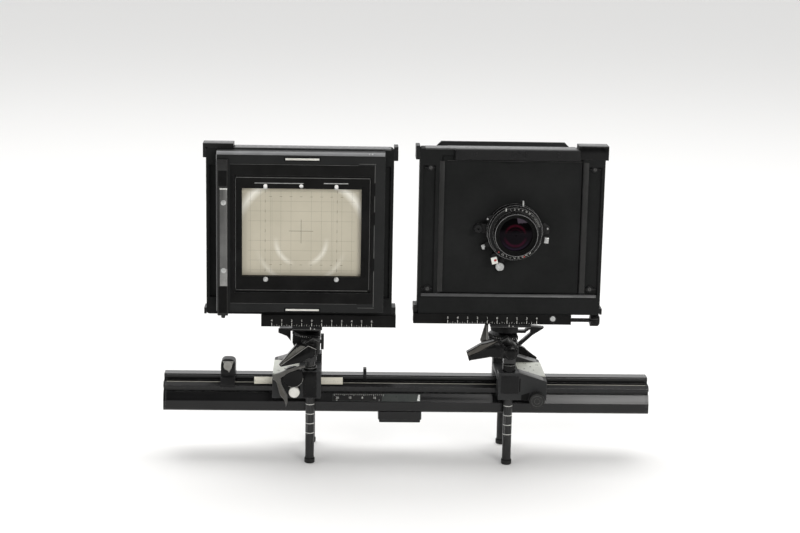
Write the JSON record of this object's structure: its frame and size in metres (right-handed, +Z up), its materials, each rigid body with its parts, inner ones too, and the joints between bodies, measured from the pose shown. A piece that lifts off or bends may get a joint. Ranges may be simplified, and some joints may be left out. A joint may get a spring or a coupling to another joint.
{
  "type": "monorail view camera",
  "caption": "Sheet-film view camera on a monorail: a lens standard and a focusing-screen standard on sliding rods, swung flat for storage.",
  "frame": {"origin": "on the ground under the middle of the rail, at the centre of the bounding box's bottom", "axes": "+X along the rail towards the lens standard, -Y to the side that the lens and the focusing screen both face at rest, +Z up"},
  "size_m": [0.495, 0.1008, 0.3254],
  "materials": {
    "rail": "dark anodised, satin",
    "rail_end_caps": "dark anodised, satin",
    "tripod_block": "dark anodised, satin",
    "rail_label_plate": "satin black anodised",
    "rail_scale_strip": "cream scale strip",
    "accessory_clamp": "satin black anodised",
    "accessory_clamp_screw": "satin black anodised",
    "front_bearer": "dark anodised, satin",
    "front_scale_plate": "grey scale plate with dark numbers",
    "front_focus_knob": "matte black",
    "front_clamp_lever": "satin black anodised",
    "front_clamp_screw": "white knurled plastic",
    "front_rods": "dark anodised, satin",
    "front_rod_feet": "matte black",
    "front_tilt_head": "satin black anodised",
    "front_swing_disc": "satin black anodised",
    "front_tilt_lever": "satin black anodised",
    "front_swing_lock": "satin black anodised",
    "front_shift_carriage": "satin black anodised",
    "front_swing_lever": "satin black anodised",
    "front_shift_bar": "satin black anodised",
    "front_standard_frame": "satin black anodised",
    "front_frame_caps": "matte black",
    "lens_board": "satin black anodised",
    "shutter_body": "satin black anodised",
    "front_lens_barrel": "satin black anodised",
    "front_lens_glass": "coated lens glass, purple sheen",
    "rear_lens_group": "satin black anodised",
    "retaining_ring": "satin black anodised",
    "bellows_front_frame": "satin black anodised",
    "bellows": "matte black coated cloth",
    "rear_bearer": "dark anodised, satin",
    "rear_scale_plate": "grey scale plate with dark numbers",
    "rear_focus_knob": "matte black",
    "rear_clamp_lever": "satin black anodised",
    "rear_clamp_screw": "white knurled plastic",
    "rear_rods": "dark anodised, satin",
    "rear_rod_feet": "matte black",
    "rear_tilt_head": "satin black anodised",
    "rear_swing_disc": "satin black anodised",
    "rear_tilt_lever": "satin black anodised",
    "rear_swing_lock": "satin black anodised",
    "rear_shift_carriage": "satin black anodised",
    "rear_swing_lever": "satin black anodised",
    "rear_shift_bar": "satin black anodised",
    "rear_standard_frame": "satin black anodised",
    "rear_frame_caps": "matte black",
    "spring_back": "satin black anodised",
    "front_shift_knob": "satin black anodised",
    "board_latch": "satin black anodised",
    "speed_ring": "bright metal",
    "aperture_lever": "bright metal",
    "cocking_lever": "bright metal",
    "release_lever": "satin black anodised",
    "bellows_rear_frame": "satin black anodised",
    "glass_holder": "matte black",
    "ground_glass": "ground glass, etched grid",
    "fresnel_lens": "ringed plastic field lens",
    "glass_screws": "polished",
    "back_lever": "matte black"
  },
  "bodies": {
    "rail": {"rail": "rail", "rail_end_caps": "rail_end_caps", "tripod_block": "tripod_block", "rail_label_plate": "rail_label_plate", "rail_scale_strip": "rail_scale_strip"},
    "accessory_clamp": {"accessory_clamp": "accessory_clamp"},
    "accessory_screw": {"accessory_clamp_screw": "accessory_clamp_screw"},
    "front_bearer": {"front_bearer": "front_bearer", "front_scale_plate": "front_scale_plate"},
    "front_focus_knob": {"front_focus_knob": "front_focus_knob"},
    "front_clamp_lever": {"front_clamp_lever": "front_clamp_lever"},
    "front_clamp_screw": {"front_clamp_screw": "front_clamp_screw"},
    "front_rods": {"front_rods": "front_rods", "front_rod_feet": "front_rod_feet"},
    "front_tilt_head": {"front_tilt_head": "front_tilt_head", "front_swing_disc": "front_swing_disc"},
    "front_tilt_lever": {"front_tilt_lever": "front_tilt_lever"},
    "front_swing_lock": {"front_swing_lock": "front_swing_lock"},
    "front_carriage": {"front_shift_carriage": "front_shift_carriage"},
    "front_swing_lever": {"front_swing_lever": "front_swing_lever"},
    "front_standard": {"front_shift_bar": "front_shift_bar", "front_standard_frame": "front_standard_frame", "front_frame_caps": "front_frame_caps", "lens_board": "lens_board", "shutter_body": "shutter_body", "front_lens_barrel": "front_lens_barrel", "front_lens_glass": "front_lens_glass", "rear_lens_group": "rear_lens_group", "retaining_ring": "retaining_ring", "bellows_front_frame": "bellows_front_frame", "bellows": "bellows"},
    "rear_bearer": {"rear_bearer": "rear_bearer", "rear_scale_plate": "rear_scale_plate"},
    "rear_focus_knob": {"rear_focus_knob": "rear_focus_knob"},
    "rear_clamp_lever": {"rear_clamp_lever": "rear_clamp_lever"},
    "rear_clamp_screw": {"rear_clamp_screw": "rear_clamp_screw"},
    "rear_rods": {"rear_rods": "rear_rods", "rear_rod_feet": "rear_rod_feet"},
    "rear_tilt_head": {"rear_tilt_head": "rear_tilt_head", "rear_swing_disc": "rear_swing_disc"},
    "rear_tilt_lever": {"rear_tilt_lever": "rear_tilt_lever"},
    "rear_swing_lock": {"rear_swing_lock": "rear_swing_lock"},
    "rear_carriage": {"rear_shift_carriage": "rear_shift_carriage"},
    "rear_swing_lever": {"rear_swing_lever": "rear_swing_lever"},
    "rear_standard": {"rear_shift_bar": "rear_shift_bar", "rear_standard_frame": "rear_standard_frame", "rear_frame_caps": "rear_frame_caps", "spring_back": "spring_back"},
    "shift_knob": {"front_shift_knob": "front_shift_knob"},
    "board_latch": {"board_latch": "board_latch"},
    "speed_ring": {"speed_ring": "speed_ring"},
    "aperture_lever": {"aperture_lever": "aperture_lever"},
    "cocking_lever": {"cocking_lever": "cocking_lever"},
    "release_lever": {"release_lever": "release_lever"},
    "bellows_rear": {"bellows_rear_frame": "bellows_rear_frame"},
    "glass_holder": {"glass_holder": "glass_holder", "ground_glass": "ground_glass", "fresnel_lens": "fresnel_lens", "glass_screws": "glass_screws"},
    "back_lever": {"back_lever": "back_lever"}
  },
  "joints": [
    {"name": "accessory_slide", "type": "slide", "parent": "rail", "child": "accessory_clamp", "axis": [-1, 0, 0], "range_m": [-0.018, 0.045]},
    {"name": "accessory_screw_turn", "type": "hinge", "parent": "accessory_clamp", "child": "accessory_screw", "pos_m": [-0.1825, -0.012, 0.0945], "axis": [0, -1, 0], "range_deg": [0, 180]},
    {"name": "front_focus_slide", "type": "slide", "parent": "rail", "child": "front_bearer", "axis": [1, 0, 0], "range_m": [-0.012, 0.1]},
    {"name": "front_focus_knob_turn", "type": "hinge", "parent": "front_bearer", "child": "front_focus_knob", "pos_m": [0.1298, -0.046, 0.071], "axis": [0, -1, 0], "range_deg": [-400, 3100]},
    {"name": "front_clamp_lever_turn", "type": "hinge", "parent": "front_bearer", "child": "front_clamp_lever", "pos_m": [0.1189, 0.042, 0.0932], "axis": [0, -1, 0], "range_deg": [0, 25]},
    {"name": "front_clamp_screw_turn", "type": "hinge", "parent": "front_bearer", "child": "front_clamp_screw", "pos_m": [0.1177, 0.042, 0.077], "axis": [0, 1, 0], "range_deg": [0, 180]},
    {"name": "front_rise", "type": "slide", "parent": "front_bearer", "child": "front_rods", "axis": [0, 0, 1], "range_m": [0, 0.055]},
    {"name": "front_tilt", "type": "hinge", "parent": "front_rods", "child": "front_tilt_head", "pos_m": [0.102, 0, 0.12], "axis": [0, 1, 0], "range_deg": [-4, 30]},
    {"name": "front_tilt_lever_turn", "type": "hinge", "parent": "front_rods", "child": "front_tilt_lever", "pos_m": [0.102, -0.042, 0.12], "axis": [0, 1, 0], "range_deg": [0, 24]},
    {"name": "front_swing_lock_turn", "type": "hinge", "parent": "front_tilt_head", "child": "front_swing_lock", "pos_m": [0.082, 0, 0.118], "axis": [1, 0, 0], "range_deg": [-20, 20]},
    {"name": "front_swing", "type": "hinge", "parent": "front_tilt_head", "child": "front_carriage", "pos_m": [0.102, 0, 0.135], "axis": [0, 0, 1], "range_deg": [-90, 90]},
    {"name": "front_swing_lever_turn", "type": "hinge", "parent": "front_tilt_head", "child": "front_swing_lever", "pos_m": [0.102, 0, 0.131], "axis": [0, 0, 1], "range_deg": [-12, 12]},
    {"name": "front_shift", "type": "slide", "parent": "front_carriage", "child": "front_standard", "axis": [1, 0, 0], "range_m": [-0.01, 0.03]},
    {"name": "rear_focus_slide", "type": "slide", "parent": "rail", "child": "rear_bearer", "axis": [-1, 0, 0], "range_m": [-0.012, 0.035]},
    {"name": "rear_focus_knob_turn", "type": "hinge", "parent": "rear_bearer", "child": "rear_focus_knob", "pos_m": [-0.1263, 0.046, 0.071], "axis": [0, -1, 0], "range_deg": [-400, 1200]},
    {"name": "rear_clamp_lever_turn", "type": "hinge", "parent": "rear_bearer", "child": "rear_clamp_lever", "pos_m": [-0.1154, -0.042, 0.0932], "axis": [0, 1, 0], "range_deg": [0, 25]},
    {"name": "rear_clamp_screw_turn", "type": "hinge", "parent": "rear_bearer", "child": "rear_clamp_screw", "pos_m": [-0.1142, -0.042, 0.077], "axis": [0, -1, 0], "range_deg": [0, 180]},
    {"name": "rear_rise", "type": "slide", "parent": "rear_bearer", "child": "rear_rods", "axis": [0, 0, 1], "range_m": [0, 0.055]},
    {"name": "rear_tilt", "type": "hinge", "parent": "rear_rods", "child": "rear_tilt_head", "pos_m": [-0.0985, 0, 0.12], "axis": [0, -1, 0], "range_deg": [-4, 30]},
    {"name": "rear_tilt_lever_turn", "type": "hinge", "parent": "rear_rods", "child": "rear_tilt_lever", "pos_m": [-0.0985, -0.042, 0.12], "axis": [0, 1, 0], "range_deg": [0, 24]},
    {"name": "rear_swing_lock_turn", "type": "hinge", "parent": "rear_tilt_head", "child": "rear_swing_lock", "pos_m": [-0.0865, 0, 0.118], "axis": [1, 0, 0], "range_deg": [0, 90]},
    {"name": "rear_swing", "type": "hinge", "parent": "rear_tilt_head", "child": "rear_carriage", "pos_m": [-0.0985, 0, 0.135], "axis": [0, 0, -1], "range_deg": [-90, 90]},
    {"name": "rear_swing_lever_turn", "type": "hinge", "parent": "rear_tilt_head", "child": "rear_swing_lever", "pos_m": [-0.0985, 0, 0.131], "axis": [0, 0, 1], "range_deg": [-12, 12]},
    {"name": "rear_shift", "type": "slide", "parent": "rear_carriage", "child": "rear_standard", "axis": [-1, 0, 0], "range_m": [-0.01, 0.025]},
    {"name": "shift_knob_turn", "type": "hinge", "parent": "front_standard", "child": "shift_knob", "pos_m": [0.17, -0.015, 0.147], "axis": [1, 0, 0], "range_deg": [-240, 700]},
    {"name": "board_latch_slide", "type": "slide", "parent": "front_standard", "child": "board_latch", "axis": [0, 0, 1], "range_m": [0, 0.012]},
    {"name": "speed_ring_turn", "type": "hinge", "parent": "front_standard", "child": "speed_ring", "pos_m": [0.104, -0.02, 0.24], "axis": [0, -1, 0], "range_deg": [-60, 20]},
    {"name": "aperture_lever_turn", "type": "hinge", "parent": "front_standard", "child": "aperture_lever", "pos_m": [0.104, -0.02, 0.24], "axis": [0, -1, 0], "range_deg": [-25, 20]},
    {"name": "cocking_lever_turn", "type": "hinge", "parent": "front_standard", "child": "cocking_lever", "pos_m": [0.104, -0.02, 0.24], "axis": [0, -1, 0], "range_deg": [0, 35]},
    {"name": "release_lever_turn", "type": "hinge", "parent": "front_standard", "child": "release_lever", "pos_m": [0.104, -0.02, 0.24], "axis": [0, -1, 0], "range_deg": [0, 12], "stiffness_Nm_per_rad": 0.05, "springref_deg": -5.73},
    {"name": "bellows_draw", "type": "slide", "parent": "front_standard", "child": "bellows_rear", "axis": [0, 1, 0], "range_m": [0, 0.08], "deforming": ["bellows"]},
    {"name": "glass_holder_slide", "type": "slide", "parent": "rear_standard", "child": "glass_holder", "axis": [0, -1, 0], "range_m": [0, 0.012], "stiffness_N_per_m": 400, "springref_m": -0.01},
    {"name": "back_lever_turn", "type": "hinge", "parent": "rear_standard", "child": "back_lever", "pos_m": [-0.1888, -0.0479, 0.233], "axis": [0, 0, -1], "range_deg": [0, 40]}
  ],
  "couplings": [
    {"joint": "front_focus_knob_turn", "follows": "front_focus_slide", "rad_per_m": 520},
    {"joint": "rear_focus_knob_turn", "follows": "rear_focus_slide", "rad_per_m": 520},
    {"joint": "shift_knob_turn", "follows": "front_shift", "rad_per_m": 400}
  ]
}
